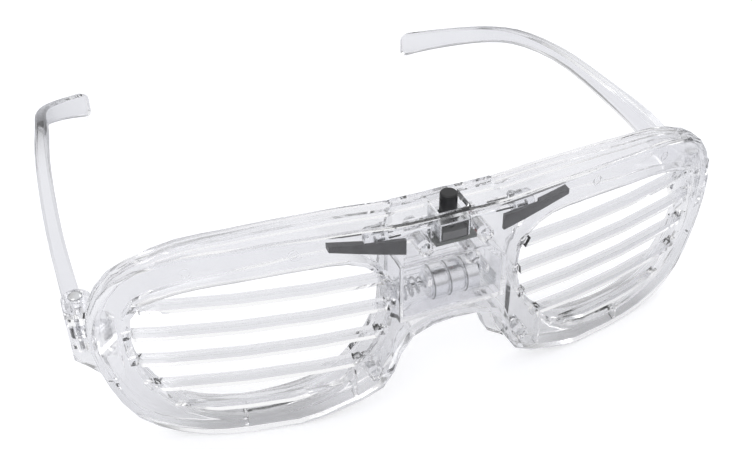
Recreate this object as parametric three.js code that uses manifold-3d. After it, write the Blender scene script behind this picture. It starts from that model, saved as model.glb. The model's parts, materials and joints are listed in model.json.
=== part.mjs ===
// Light-up shutter glasses: a clear moulded front shell and rear cover with slatted lens
// openings, folding temples, and a cell pack, switch and two light emitters in the bridge.
// Millimetres. +X to the wearer's left as seen from the front, +Y towards the ears, +Z up.
// The origin lies on the table under the middle of the object's bounding box.
import * as THREE from 'three';
import { mergeVertices } from 'three/addons/utils/BufferGeometryUtils.js';
import Module from 'manifold-3d';

const wasm = await Module();
wasm.setup();

// Overall sizes
const halfWidth = 73.4;
const frameHeight = 49.5;
const wrapRadius = 200;
const templeReach = 157.6;

// Depth of the closed housing, front face to back face
const bridgeDepth = 10.2;
const topDepthFall = 5.3;
const rimDepth = 6.8;
const rimDepthFall = 1.9;
const shoulderHigh = 12.5;
const bridgeHalf = 11;
const bridgeBlend = 4.5;

// Walls and clearances
const plate = 1.6;
const outerWall = 1.5;
const rimWall = 1.3;
const rearPlate = 1.5;
const edgeRound = 0.8;
const bevelWide = 2.0;
const bevelDeep = 1.2;
const seat = 0.3;
const overrun = 2;

// Flat stage: the shells are drawn flat, then bent. These depths keep their thickness.
const frontZone = 2.5;
const rearZone = rearPlate + seat;
const flatDepth = bridgeDepth;
const rearFront = flatDepth - rearPlate;
const shellEnd = flatDepth - rearZone;
const bendStep = 14;

// Slats
const slatCount = 5;
const topSlatShare = 0.752;
const slatPitchShare = 0.1394;
const slatHeight = 2.1;
const slatDepth = 2.0;
const slatSetback = 0.3;
const tenonHeight = 1.2;
const tenonDepth = 0.8;

// Rear cover details
const lipThick = 0.9;
const lipReach = 1.5;
const rearRound = 0.5;
const noseReach = 2.6;
const noseDepth = 4.2;
const noseLow = 6;
const noseRise = 5;

// Case screws and their posts
const postRadius = 1.7;
const screwRadius = 0.8;
const screwHeadRadius = 1.5;
const screwHead = 0.9;
const lowerPostShares = { x: 0.237, z: 0.203 };
const postStart = 3.2;

// Ribs that tie the rim's two walls
const ribThick = 0.8;
const ribDepth = 4.4;

// Battery box
const boxRoom = 1.8;
const boxHigh = 14.6;
const boxDrop = 3.2;
const boxBevel = 4.2;
const boxFront = 2.3;
const boxWall = 0.9;
const cellRadius = 3.95;
const cellLength = 3.5;
const cellCount = 3;
const cellGap = 0.25;
const cellStartX = -4.6;
const cellCapShares = { radius: 0.8, height: 0.1, chamfer: 0.12 };
const doorThick = 1.1;
const doorLip = 0.5;
const doorRibs = 5;
const doorRibHeight = 0.4;
const doorRibWide = 0.6;
const doorPostX = 4.2;
const doorPostRadius = 1.7;
const doorPostDrop = 2.3;
const springWire = 0.55;
const springTurns = 3.5;
const springWide = 2.6;
const springNarrow = 1.5;
const stripThick = 0.4;
const contactHigh = 6.4;
const contactWide = 5.2;
const contactFoot = 3.2;

// Switch, board and emitters
const buttonX = -0.5;
const buttonY = 4.9;
const buttonRadius = 1.85;
const buttonProud = 2.1;
const buttonTravel = 0.8;
const windowHalf = 3.5;
const windowFront = 1.7;
const windowBack = 8.2;
const switchHalf = 2.7;
const switchDepthHalf = 2.8;
const switchHeight = 1.9;
const boardHalf = 4.6;
const boardThick = 0.8;
const bracketRoom = 1.4;
const boardFront = 2.1;
const boardBack = 7.7;
const flangeRadius = 2.6;
const flangeThick = 0.4;
const stemRadius = 1.2;
const bracketSheet = 0.3;
const chipRadius = 1.7;
const chipX = -1.2;
const chipHeight = 1.1;
const ledRadius = 1.5;
const ledLength = 5.0;
const ledFlange = 0.22;
const ledStart = 14.0;
const ledY = 5.4;
const ledHeightShare = 0.897;
const legWide = 0.5;
const shieldThick = 0.8;
const shieldDeep = 2.4;
const shieldSetback = 0.5;
const wireRadius = 0.45;

// Hinges
const knuckleRadius = 3.0;
const pinRadius = 0.8;
const pinHeadRadius = 1.5;
const pinHead = 0.7;
const hingeMiddleShare = 0.533;
const hingeTall = 10.8;
const knuckleHeight = 3.4;
const blockWide = 6.6;
const blockFall = 2.6;
const blockDrop = 5.6;
const blockDraw = 4.6;

// Temples
const bladeThick = 3.6;
const tipThick = 2.5;
const bladeChamfer = 0.7;
const bladeSteps = 26;

// Colours
const clear = { color: 0xe9ecf2, roughness: 0.12, metalness: 0.0 };
const steel = { color: 0xb9bcc2, roughness: 0.3, metalness: 1.0 };
const blackPlastic = { color: 0x232327, roughness: 0.45, metalness: 0.0 };
const greyPlastic = { color: 0x77797f, roughness: 0.5, metalness: 0.0 };
const boardDark = { color: 0x292b29, roughness: 0.5, metalness: 0.0 };
const redWire = { color: 0xb3352c, roughness: 0.5, metalness: 0.0 };
const emitter = { color: 0xf2f4f8, roughness: 0.1, metalness: 0.0 };

// Outlines of the right half, as shares of half width and frame height
const outlineShares = [
  [0, 0.988], [0.119, 0.986], [0.331, 1], [0.564, 0.994], [0.786, 0.962], [0.937, 0.832],
  [1, 0.547], [0.922, 0.156], [0.748, 0.016], [0.537, -0.012], [0.343, 0.048], [0.209, 0.144],
];
const archSideShares = [0.137, 0.87];
const openingShares = [
  [0.181, 0.535], [0.19, 0.741], [0.303, 0.867], [0.536, 0.867], [0.763, 0.826], [0.893, 0.733],
  [0.918, 0.541], [0.886, 0.325], [0.774, 0.143], [0.579, 0.089], [0.364, 0.157], [0.243, 0.333],
];
const outlineSamples = 76;
const openingSamples = 36;

// Corners of the light shield behind the front face
const shieldShares = [[0.148, 0.821], [0.361, 0.9], [0.361, 0.925], [0.148, 0.894]];

// Temple stations: distance back, place across, middle height and blade height
const templeShares = {
  back: [0, 0.1, 0.25, 0.42, 0.58, 0.72, 0.83, 0.91, 0.965, 1],
  across: [0.993, 0.997, 0.993, 0.977, 0.953, 0.939, 0.907, 0.845, 0.785, 0.739],
  middle: [0.535, 0.592, 0.614, 0.624, 0.562, 0.432, 0.305, 0.208, 0.136, 0.087],
  height: [0.172, 0.142, 0.106, 0.084, 0.091, 0.108, 0.124, 0.14, 0.157, 0.174],
};

// Heights that stack down from the roof of the shell: bracket, button, switch, board and box,
// and the nose arch under the box
const roofZ = outlineShares[0][1] * frameHeight - outerWall;
const bracketTop = roofZ - bracketRoom;
const bracketPlate = bracketTop - bracketSheet;
const flangeBottom = bracketPlate - seat - flangeThick;
const switchTop = flangeBottom - buttonTravel - seat;
const switchBottom = switchTop - switchHeight;
const boardTop = switchBottom - seat;
const boardBottom = boardTop - boardThick;
const boxTop = boardBottom - boxDrop;
const boxBottom = boxTop - boxHigh;
const archTop = boxBottom - seat - outerWall;
const buttonTop = roofZ + outerWall + buttonProud;
const boxHalf = openingShares[0][0] * halfWidth + bevelWide - rimWall - boxRoom;
const upperPost = { x: boardHalf + seat + postRadius, z: boardBottom };
const lowerPost = { x: lowerPostShares.x * halfWidth, z: lowerPostShares.z * frameHeight };
const doorPost = { x: doorPostX, z: boxTop - doorPostDrop, radius: doorPostRadius };
const ledZ = ledHeightShare * frameHeight;

// Solids and geometries
const mergeTolerance = 1e-4;
const seamTolerance = 1e-3;

function solidOf(geometry) {
  const bare = geometry.clone();
  for (const name of Object.keys(bare.attributes)) {
    if (name !== 'position') bare.deleteAttribute(name);
  }
  const merged = mergeVertices(bare, mergeTolerance);
  const mesh = new wasm.Mesh({
    numProp: 3,
    vertProperties: Float32Array.from(merged.attributes.position.array),
    triVerts: Uint32Array.from(merged.index.array),
  });
  return new wasm.Manifold(mesh);
}

function geometryOf(solid) {
  const mesh = solid.getMesh();
  const points = [];
  for (let i = 0; i < mesh.vertProperties.length; i += mesh.numProp) {
    points.push(mesh.vertProperties[i], mesh.vertProperties[i + 1], mesh.vertProperties[i + 2]);
  }
  const geometry = new THREE.BufferGeometry();
  geometry.setAttribute('position', new THREE.Float32BufferAttribute(points, 3));
  geometry.setIndex(Array.from(mesh.triVerts));
  return geometry;
}

const join = (...solids) => solids.reduce((whole, piece) => whole.add(piece));
const cut = (solid, ...tools) => tools.reduce((rest, tool) => rest.subtract(tool), solid);

// A closed body from triangles of points, turned so that its faces point out
function bodyOf(triangles) {
  let volume = 0;
  const cross = new THREE.Vector3();
  for (const [a, b, c] of triangles) volume += a.dot(cross.crossVectors(b, c));
  const positions = [];
  for (const [a, b, c] of triangles) {
    const order = volume > 0 ? [a, b, c] : [a, c, b];
    for (const point of order) positions.push(point.x, point.y, point.z);
  }
  const geometry = new THREE.BufferGeometry();
  geometry.setAttribute('position', new THREE.Float32BufferAttribute(positions, 3));
  return geometry;
}

// Joins rings of equally many points into a closed body with flat ends
function loft(rings, flatten) {
  const triangles = [];
  const count = rings[0].length;
  for (let r = 0; r + 1 < rings.length; r++) {
    for (let i = 0; i < count; i++) {
      const j = (i + 1) % count;
      triangles.push([rings[r][i], rings[r][j], rings[r + 1][j]]);
      triangles.push([rings[r][i], rings[r + 1][j], rings[r + 1][i]]);
    }
  }
  const ends = [[rings[0], true], [rings[rings.length - 1], false]];
  for (const [ring, first] of ends) {
    const contour = ring.map(flatten);
    const sign = Math.sign(THREE.ShapeUtils.area(contour));
    for (const [a, b, c] of THREE.ShapeUtils.triangulateShape(contour, [])) {
      const keep = first === sign > 0;
      triangles.push(keep ? [ring[b], ring[a], ring[c]] : [ring[a], ring[b], ring[c]]);
    }
  }
  return solidOf(bodyOf(triangles));
}

const seenFromFront = (point) => new THREE.Vector2(point.x, point.z);
const seenAlongTemple = (point) => new THREE.Vector2(point.x + point.y, point.z);

function box(low, high) {
  const size = high.map((value, i) => value - low[i]);
  const geometry = new THREE.BoxGeometry(...size);
  geometry.translate(...low.map((value, i) => value + size[i] / 2));
  return solidOf(geometry);
}

function turnedSolid(profile, sides) {
  const points = profile.map(([radius, height]) => new THREE.Vector2(radius, height));
  return new THREE.LatheGeometry(points, sides);
}

// Revolved profiles whose axis runs up, back or across
function uprightTurn(profile, x, y, sides) {
  const geometry = turnedSolid(profile, sides);
  geometry.rotateX(Math.PI / 2);
  geometry.translate(x, y, 0);
  return solidOf(geometry);
}

function backwardTurn(profile, x, z, sides) {
  const geometry = turnedSolid(profile, sides);
  geometry.translate(x, 0, z);
  return solidOf(geometry);
}

function sidewaysTurn(profile, y, z, sides) {
  const geometry = turnedSolid(profile, sides);
  geometry.rotateZ(-Math.PI / 2);
  geometry.translate(0, y, z);
  return solidOf(geometry);
}

const rod = (radius, start, end) => [[0, start], [radius, start], [radius, end], [0, end]];

// Outlines
function closedOutline(corners, samples) {
  const points = corners.map(([x, z]) => new THREE.Vector3(x, 0, z));
  const curve = new THREE.CatmullRomCurve3(points, true, 'catmullrom', 0.5);
  curve.arcLengthDivisions = samples * corners.length;
  return curve.getSpacedPoints(samples).slice(0, -1);
}

function offsetOutline(outline, distance) {
  const count = outline.length;
  return outline.map((point, i) => {
    const before = outline[(i + count - 1) % count];
    const after = outline[(i + 1) % count];
    const into = new THREE.Vector2(point.x - before.x, point.z - before.z).normalize();
    const out = new THREE.Vector2(after.x - point.x, after.z - point.z).normalize();
    const middle = into.clone().add(out).normalize();
    const reach = typeof distance === 'function' ? distance(point) : distance;
    const miter = reach / middle.dot(into);
    return new THREE.Vector3(point.x - middle.y * miter, 0, point.z + middle.x * miter);
  });
}

const atDepth = (outline, y) => outline.map((point) => new THREE.Vector3(point.x, y, point.z));

// A body with straight sides or edge treatment: steps are pairs of offset and depth
function mouldedBody(outline, steps) {
  const rings = steps.map(([distance, y]) => atDepth(offsetOutline(outline, distance), y));
  return loft(rings, seenFromFront);
}

const scaled = (shares) => shares.map(([x, z]) => [x * halfWidth, z * frameHeight]);
const [archSideX, archSideZ] = archSideShares;
const rightHalf = [
  ...scaled(outlineShares), [archSideX * halfWidth, archSideZ * archTop], [0, archTop],
];
const mirroredHalf = rightHalf.slice(1, -1).map(([x, z]) => [-x, z]).reverse();
const frameOutline = closedOutline([...rightHalf, ...mirroredHalf], outlineSamples);
for (const point of frameOutline) point.z = Math.max(point.z, 0);

const rightOpening = closedOutline(scaled(openingShares), openingSamples);
const leftOpening = rightOpening.map((point) => new THREE.Vector3(-point.x, 0, point.z)).reverse();
const openings = { left: leftOpening, right: rightOpening };
const sides = { left: -1, right: 1 };

// Bending: the wrap runs in flat facets between stations, and the housing is as deep as the
// greater of two levels, so that the front shell and the rear cover bend alike
const smooth = (t) => THREE.MathUtils.smoothstep(t, 0, 1);

function stations(start, end, step) {
  const count = Math.round((end - start) / step);
  return Array.from({ length: count + 1 }, (_, i) => start + ((end - start) * i) / count);
}

const acrossStations = [
  ...stations(-halfWidth, -bridgeHalf - bridgeBlend, bendStep), -bridgeHalf,
  bridgeHalf, ...stations(bridgeHalf + bridgeBlend, halfWidth, bendStep),
];

function overStations(rule, x) {
  const found = acrossStations.findIndex((station) => station > x);
  const next = found < 0 ? acrossStations.length - 1 : Math.max(found, 1);
  const low = acrossStations[next - 1];
  const high = acrossStations[next];
  return THREE.MathUtils.mapLinear(x, low, high, rule(low), rule(high));
}

const arc = (x) => wrapRadius - Math.sqrt(wrapRadius * wrapRadius - x * x);
const fallOf = (depth, fall) => (x) => depth - fall * (x / halfWidth) ** 2;
const rimLevel = fallOf(rimDepth, rimDepthFall);
const baseLevel = (x) => (Math.abs(x) > bridgeHalf ? rimLevel(x) : bridgeDepth);
const shoulderSlope = (bridgeDepth - rimDepth) / shoulderHigh;
const wrap = (x) => overStations(arc, x);
const base = (x) => overStations(baseLevel, x);
const shoulder = (x, z) => (
  overStations(fallOf(bridgeDepth, topDepthFall), x) - shoulderSlope * (frameHeight - z)
);
const housingDepth = (x, z) => Math.max(base(x), shoulder(x, z));

function bentDepth(x, y, z) {
  const depth = housingDepth(x, z);
  if (y <= frontZone) return wrap(x) + y;
  if (y >= shellEnd) return wrap(x) + depth - flatDepth + y;
  const share = (y - frontZone) / (shellEnd - frontZone);
  return wrap(x) + frontZone + share * (depth - rearZone - frontZone);
}

const trianglesOf = (solid) => {
  const position = geometryOf(solid).toNonIndexed().attributes.position;
  return Array.from({ length: position.count / 3 }, (_, i) => (
    [0, 1, 2].map((k) => new THREE.Vector3().fromBufferAttribute(position, i * 3 + k))
  ));
};

// Cuts triangles where a measure of their points passes through zero
function splitTriangles(triangles, measure) {
  const kept = [];
  const near = (value) => (Math.abs(value) < mergeTolerance ? 0 : value);
  for (const triangle of triangles) {
    const side = triangle.map((point) => near(measure(point)));
    if (Math.min(...side) >= 0 || Math.max(...side) <= 0) {
      kept.push(triangle);
      continue;
    }
    const below = [];
    const above = [];
    for (let i = 0; i < 3; i++) {
      const j = (i + 1) % 3;
      if (side[i] <= 0) below.push(triangle[i]);
      if (side[i] >= 0) above.push(triangle[i]);
      if (side[i] * side[j] < 0) {
        const [low, high] = side[i] < 0 ? [i, j] : [j, i];
        const share = side[low] / (side[low] - side[high]);
        const crossing = triangle[low].clone().lerp(triangle[high], share);
        below.push(crossing);
        above.push(crossing);
      }
    }
    for (const fan of [below, above]) {
      for (let i = 1; i + 1 < fan.length; i++) kept.push([fan[0], fan[i], fan[i + 1]]);
    }
  }
  return kept;
}

// Splits a triangle at the seam points on its edge along a station
function withSeamPoints(triangle, seams) {
  for (let k = 0; k < 3; k++) {
    const [start, end, apex] = [0, 1, 2].map((step) => triangle[(k + step) % 3]);
    if (!seams.has(start) || !seams.has(end) || Math.abs(start.x - end.x) > seamTolerance) continue;
    const edge = new THREE.Line3(start, end);
    const place = (point) => edge.closestPointToPointParameter(point, true);
    const inside = [...seams].filter((point) => {
      const nearest = edge.at(place(point), new THREE.Vector3());
      return point !== start && point !== end && nearest.distanceTo(point) < seamTolerance;
    });
    inside.sort((a, b) => place(a) - place(b));
    const row = [start, ...inside, end];
    return row.slice(1).map((point, i) => [row[i], point, apex]);
  }
  return [triangle];
}

// Bends a solid slab by slab, leaving out the faces between neighbouring slabs
function bend(solid) {
  const reach = halfWidth * 2;
  const edges = [-reach, ...acrossStations.slice(1, -1), reach];
  const flat = [];
  const seams = new Set();
  for (let i = 0; i + 1 < edges.length; i++) {
    const ends = [edges[i], edges[i + 1]];
    const slab = solid.intersect(box([ends[0], -reach, -reach], [ends[1], reach, reach]));
    const at = (end) => (point) => Math.abs(point.x - end) < mergeTolerance;
    const shared = (point) => {
      if (!ends.some((end) => at(end)(point))) return point;
      const known = [...seams].find((seam) => seam.distanceTo(point) < seamTolerance) ?? point;
      seams.add(known);
      return known;
    };
    for (const triangle of trianglesOf(slab)) {
      if (!ends.some((end) => triangle.every(at(end)))) flat.push(triangle.map(shared));
    }
  }
  const matched = flat.flatMap((triangle) => withSeamPoints(triangle, seams));
  const creased = splitTriangles(matched, (point) => shoulder(point.x, point.z) - base(point.x));
  const bentPoint = (point) => new THREE.Vector3(point.x, bentDepth(point.x, point.y, point.z), point.z);
  return solidOf(bodyOf(creased.map((triangle) => triangle.map(bentPoint))));
}

// Lens opening: a bevelled mouth, then a straight rim wall
const openingCut = (side, reach) => mouldedBody(openings[side], [
  [bevelDeep, -bevelDeep / 2], [0, 0], [-bevelWide / 2, bevelDeep * 0.3],
  [-bevelWide, bevelDeep], [-bevelWide, reach],
]);
const openingCore = (side, inset, start, end) => mouldedBody(openings[side], [
  [-bevelWide - inset, start], [-bevelWide - inset, end],
]);

const posts = [upperPost, lowerPost].flatMap(({ x, z }) => [{ x: -x, z }, { x, z }]);
const slatTops = Array.from({ length: slatCount }, (_, i) => (
  (topSlatShare - slatPitchShare * i) * frameHeight
));
const slatFront = slatSetback;
const slatBack = slatSetback + slatDepth;
const tenonMiddleY = slatBack - tenonDepth;

function tenonBar(top, grow) {
  const middle = top - slatHeight / 2;
  const low = [-halfWidth, tenonMiddleY - tenonDepth / 2 - grow, middle - tenonHeight / 2 - grow];
  const high = [halfWidth, tenonMiddleY + tenonDepth / 2 + grow, middle + tenonHeight / 2 + grow];
  return box(low, high);
}

// Front shell
function frontShell() {
  let hollow = mouldedBody(frameOutline, [[-outerWall, plate], [-outerWall, flatDepth]]);
  for (const side of Object.keys(sides)) {
    hollow = cut(hollow, openingCore(side, -rimWall, 0, flatDepth + overrun));
    hollow = cut(hollow, ...rimRibs(sides[side]));
  }
  for (const { x, z } of posts) {
    hollow = cut(hollow, backwardTurn(rod(postRadius, 0, flatDepth + overrun), x, z, 12));
  }
  const outer = mouldedBody(frameOutline, [
    [-edgeRound, 0], [-edgeRound * 0.35, edgeRound * 0.35], [0, edgeRound], [0, shellEnd],
  ]);
  let shell = cut(outer, hollow);
  for (const side of Object.keys(sides)) {
    const sockets = slatTops.map((top) => tenonBar(top, seat));
    const reach = openingCore(side, -rimWall - seat, 0, frontZone + seat);
    shell = cut(shell, openingCut(side, flatDepth + overrun));
    shell = cut(shell, join(...sockets).intersect(reach));
  }
  const bores = posts.map(({ x, z }) => {
    const start = wrap(x) + postStart;
    return backwardTurn(rod(screwRadius + seat, start, start + flatDepth), x, z, 10);
  });
  const windowLow = [buttonX - windowHalf, windowFront, roofZ - outerWall];
  const windowHigh = [buttonX + windowHalf, windowBack, frameHeight + overrun];
  return cut(bend(shell), ...bores, box(windowLow, windowHigh));
}

// Ribs across the hollow rim, at shares of the outline's width
function rimRibs(side) {
  const places = [0.3, 0.62, 0.94].map((share) => share * halfWidth * side);
  const lowRibs = places.slice(0, 2).map((x) => box(
    [x - ribThick / 2, 0, -overrun],
    [x + ribThick / 2, ribDepth, frameHeight * 0.25],
  ));
  const x = places[2];
  const endRib = box(
    [Math.min(x, side * halfWidth), 0, frameHeight * 0.3],
    [Math.max(x, side * halfWidth), ribDepth, frameHeight * 0.3 + ribThick],
  );
  return [...lowRibs, endRib];
}

// Rear cover
const inArch = (point) => Math.abs(point.x) < lowerPost.x && point.z < boxBottom;
const noseShare = (point) => (inArch(point) ? smooth((point.z - noseLow) / noseRise) : 0);
const noseOffset = (point) => -lipThick + (lipThick + noseReach) * noseShare(point);

function rearCover() {
  let cover = mouldedBody(frameOutline, [
    [0, rearFront], [0, flatDepth - rearRound], [-rearRound, flatDepth],
  ]);
  const noseFront = flatDepth - noseDepth;
  const noseSkirt = cut(
    mouldedBody(frameOutline, [[noseOffset, noseFront], [noseOffset, rearFront + rearRound]]),
    mouldedBody(frameOutline, [[seat, noseFront - overrun], [seat, rearFront]]),
  );
  const noseBack = mouldedBody(frameOutline, [
    [noseOffset, rearFront], [noseOffset, flatDepth - rearRound],
    [(point) => noseOffset(point) - rearRound, flatDepth],
  ]);
  const lipOuter = outerWall + seat;
  let lip = cut(
    mouldedBody(frameOutline, [[-lipOuter, rearFront - lipReach], [-lipOuter, rearFront + rearRound]]),
    mouldedBody(frameOutline, [
      [-lipOuter - lipThick, rearFront - lipReach - overrun],
      [-lipOuter - lipThick, flatDepth + overrun],
    ]),
  );
  for (const side of Object.keys(sides)) {
    lip = cut(lip, openingCore(side, -rimWall - seat, 0, flatDepth));
  }
  for (const { x, z } of posts) {
    lip = cut(lip, backwardTurn(rod(postRadius + seat, 0, flatDepth), x, z, 12));
  }
  const clearHalf = windowHalf + seat + seat;
  const windowClear = box(
    [buttonX - clearHalf, 0, boardTop],
    [buttonX + clearHalf, windowBack + seat, frameHeight],
  );
  cover = join(cover, cut(lip, windowClear), noseSkirt, noseBack);
  for (const side of Object.keys(sides)) {
    cover = cut(cover, openingCore(side, 0, 0, flatDepth + overrun));
  }
  const bores = posts.map(({ x, z }) => (
    backwardTurn(rod(screwRadius + seat, 0, wrap(x) + flatDepth + overrun), x, z, 10)
  ));
  const boxHole = boxBody(seat, 0, flatDepth + overrun);
  const blocks = Object.values(sides).map(hingeBlock);
  return join(cut(bend(cover), boxHole, ...bores), ...blocks);
}

// Hinge block moulded on the rear cover, with two ears around the temple's knuckle
const hingeX = halfWidth + seat;
const hingeY = arc(halfWidth) + rimDepth - rimDepthFall + knuckleRadius * 2;
const hingeMiddle = hingeMiddleShare * frameHeight;
const hingeBottom = hingeMiddle - hingeTall / 2;
const hingeTop = hingeMiddle + hingeTall / 2;
const middleBottom = hingeMiddle - knuckleHeight / 2;
const middleTop = hingeMiddle + knuckleHeight / 2;
const blockDrawShares = [[1, 1, 0.3], [0.55, 0.6, 0.55], [0.2, 0.2, 0.85], [0, 0, 1]];

function hingeBlock(side) {
  const foot = (x) => bentDepth(x, rearFront, middleTop) + rearPlate / 3;
  const outerX = hingeX + knuckleRadius;
  const innerX = hingeX - knuckleRadius;
  const blockInner = outerX - knuckleRadius - blockWide;
  const outline = [
    [blockInner, foot(blockInner)],
    [halfWidth - seat, foot(halfWidth - seat)],
    [outerX, foot(halfWidth) + seat],
    [outerX, hingeY],
    [innerX, hingeY],
    [innerX, hingeY - knuckleRadius],
    [blockInner, foot(blockInner) + blockFall],
  ];
  const front = foot(blockInner);
  const ring = (z, draw, depthShare) => outline.map(([x, y]) => new THREE.Vector3(
    side * (blockInner + (x - blockInner) * (1 - draw / (outerX - blockInner))),
    Math.max(y * depthShare + front * (1 - depthShare), foot(x)),
    z,
  ));
  const lower = blockDrawShares.map(([dropShare, drawShare, depthShare]) => (
    ring(hingeBottom - blockDrop * dropShare, blockDraw * drawShare, depthShare)
  ));
  const body = loft(
    [...lower, ring(hingeTop, 0, 1)],
    (point) => new THREE.Vector2(point.x, point.y),
  );
  const x = side * hingeX;
  const ears = uprightTurn(rod(knuckleRadius, hingeBottom, hingeTop), x, hingeY, 24);
  const gap = knuckleRadius + seat;
  const room = uprightTurn(rod(gap, middleBottom - seat, middleTop + seat), x, hingeY, 24);
  const bore = uprightTurn(rod(pinRadius + seat, hingeBottom - overrun, hingeTop + overrun), x, hingeY, 12);
  return cut(join(body, ears), room, bore);
}

function hingePin(side) {
  const top = hingeTop + seat;
  const profile = [
    [0, hingeBottom - seat], [pinRadius, hingeBottom - seat], [pinRadius, top],
    [pinHeadRadius, top], [pinHeadRadius, top + pinHead / 2], [pinHeadRadius * 0.6, top + pinHead],
    [0, top + pinHead],
  ];
  return uprightTurn(profile, side * hingeX, hingeY, 16);
}

// Temple: a tapering blade that hooks down and in behind the ear, with its hinge knuckle
function temple(side) {
  const bladeStart = hingeY + knuckleRadius + seat * 2;
  const bladeX = hingeX + knuckleRadius - bladeThick / 2;
  const run = templeReach - bladeStart;
  const { back, across, middle, height } = templeShares;
  const track = new THREE.CatmullRomCurve3(back.map((share, i) => new THREE.Vector3(
    across[i] * bladeX, bladeStart + share * run, middle[i] * frameHeight,
  )), false, 'centripetal');
  const heights = new THREE.SplineCurve(back.map((share, i) => new THREE.Vector2(i, height[i] * frameHeight)));
  const onTable = (level) => Math.max(level, 0);
  const rings = Array.from({ length: bladeSteps + 1 }, (_, i) => {
    const at = track.getPoint(i / bladeSteps);
    const along = track.getTangent(i / bladeSteps);
    const outward = new THREE.Vector3(along.y, -along.x, 0).normalize();
    const half = heights.getPoint(i / bladeSteps).y / 2;
    const thin = THREE.MathUtils.lerp(bladeThick, tipThick, i / bladeSteps) / 2;
    const corner = bladeChamfer;
    const section = [
      [thin, corner - half], [thin, half - corner], [thin - corner, half], [corner - thin, half],
      [-thin, half - corner], [-thin, corner - half], [corner - thin, -half], [thin - corner, -half],
    ];
    return section.map(([out, up]) => new THREE.Vector3(
      side * (at.x + outward.x * out), at.y + outward.y * out, onTable(at.z + up),
    ));
  });
  const blade = loft(rings, seenAlongTemple);
  const x = side * hingeX;
  const knuckle = uprightTurn(rod(knuckleRadius, middleBottom, middleTop), x, hingeY, 24);
  const neckSpan = [x + side * (knuckleRadius - bladeThick), x + side * knuckleRadius];
  const neck = box(
    [Math.min(...neckSpan), hingeY, middleBottom],
    [Math.max(...neckSpan), bladeStart + bladeChamfer, middleTop],
  );
  const bore = uprightTurn(rod(pinRadius + seat, middleBottom - overrun, middleTop + overrun), x, hingeY, 12);
  return cut(join(blade, knuckle, neck), bore);
}

// Slat with a tenon at each end, cut to the rim's inner wall
function slat(side, top) {
  const bar = box([-halfWidth, slatFront, top - slatHeight], [halfWidth, slatBack, top]);
  const body = bar.intersect(openingCore(side, seat, 0, flatDepth));
  const tongue = tenonBar(top, 0).intersect(openingCore(side, seat - rimWall, 0, flatDepth));
  return bend(join(body, tongue));
}

// Battery box with cradle ribs, open at the back, and the post for the door's screw
const boxBack = boxFront + boxWall + seat / 2 + cellRadius * 2 + seat / 2;
const cellY = boxFront + boxWall + seat / 2 + cellRadius;
const cellZ = boxBottom + boxWall + seat + cellRadius;
const cellEndX = cellStartX + cellCount * cellLength + (cellCount - 1) * cellGap;

// The box, its door and the hole in the cover share one outline, with a bevelled upper corner
function boxBody(grow, start, end) {
  const half = boxHalf + grow;
  const high = boxTop + grow;
  const low = boxBottom - grow;
  const corners = [
    [-half, low], [half, low], [half, high - boxBevel], [half - boxBevel, high], [-half, high],
  ];
  const ring = (y) => corners.map(([x, z]) => new THREE.Vector3(x, y, z));
  return loft([ring(start), ring(end)], seenFromFront);
}

function batteryBox() {
  const outer = boxBody(0, boxFront, boxBack);
  const inner = boxBody(-boxWall, boxFront + boxWall, boxBack + overrun);
  const { x, z, radius } = doorPost;
  const post = backwardTurn(rod(radius, boxFront + boxWall / 2, boxBack), x, z, 16);
  const bore = backwardTurn(rod(screwRadius + seat, boxFront + boxWall * 2, boxBack + overrun), x, z, 12);
  const stops = [cellStartX - seat - ribThick, cellEndX + seat + stripThick + seat].map((start) => box(
    [start, boxFront + boxWall / 2, cellZ + cellRadius * 0.55],
    [start + ribThick, cellY, cellZ + cellRadius],
  ));
  return cut(join(cut(outer, inner), post, ...stops), bore);
}

function buttonCell(index) {
  const start = cellStartX + index * (cellLength + cellGap);
  const cap = cellRadius * cellCapShares.radius;
  const rise = cellLength * cellCapShares.height;
  const chamfer = cellRadius * cellCapShares.chamfer;
  const profile = [
    [0, start], [cap, start], [cap, start + rise], [cellRadius - chamfer, start + rise],
    [cellRadius, start + rise + chamfer], [cellRadius, start + cellLength], [0, start + cellLength],
  ];
  return sidewaysTurn(profile, cellY, cellZ, 20);
}

// Conical contact spring wound from the box's end wall towards the first cell
function contactSpring() {
  const start = boxWall - boxHalf + springWire / 2 + seat;
  const length = cellStartX - seat - springWire / 2 - start;
  const turnsPath = new THREE.Curve();
  turnsPath.getPoint = (t, target = new THREE.Vector3()) => {
    const angle = t * springTurns * Math.PI * 2;
    const radius = THREE.MathUtils.lerp(springWide, springNarrow, t);
    return target.set(start + length * t, cellY + radius * Math.cos(angle), cellZ + radius * Math.sin(angle));
  };
  const wire = new THREE.Shape();
  wire.absarc(0, 0, springWire / 2, 0, Math.PI * 2);
  const geometry = new THREE.ExtrudeGeometry(wire, {
    steps: Math.ceil(springTurns * 8), extrudePath: turnsPath, curveSegments: 3,
  });
  console.log(`contact spring: least gap between turns ${(length / springTurns - springWire).toFixed(2)} mm`);
  return solidOf(geometry);
}

// Bent contact strip: a plate against the last cell and a foot to the box's end wall
function contactPlate() {
  const start = cellEndX + seat;
  const low = cellZ - contactHigh / 2;
  const yLow = cellY - contactWide / 2;
  const face = box([start, yLow, low], [start + stripThick, yLow + contactWide, low + contactHigh]);
  const foot = box(
    [start, yLow, low],
    [boxHalf - boxWall - seat, yLow + contactWide, low + stripThick],
  );
  const upturn = box(
    [boxHalf - boxWall - seat - stripThick, yLow, low],
    [boxHalf - boxWall - seat, yLow + contactWide, low + contactFoot],
  );
  return join(face, foot, upturn);
}

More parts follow.
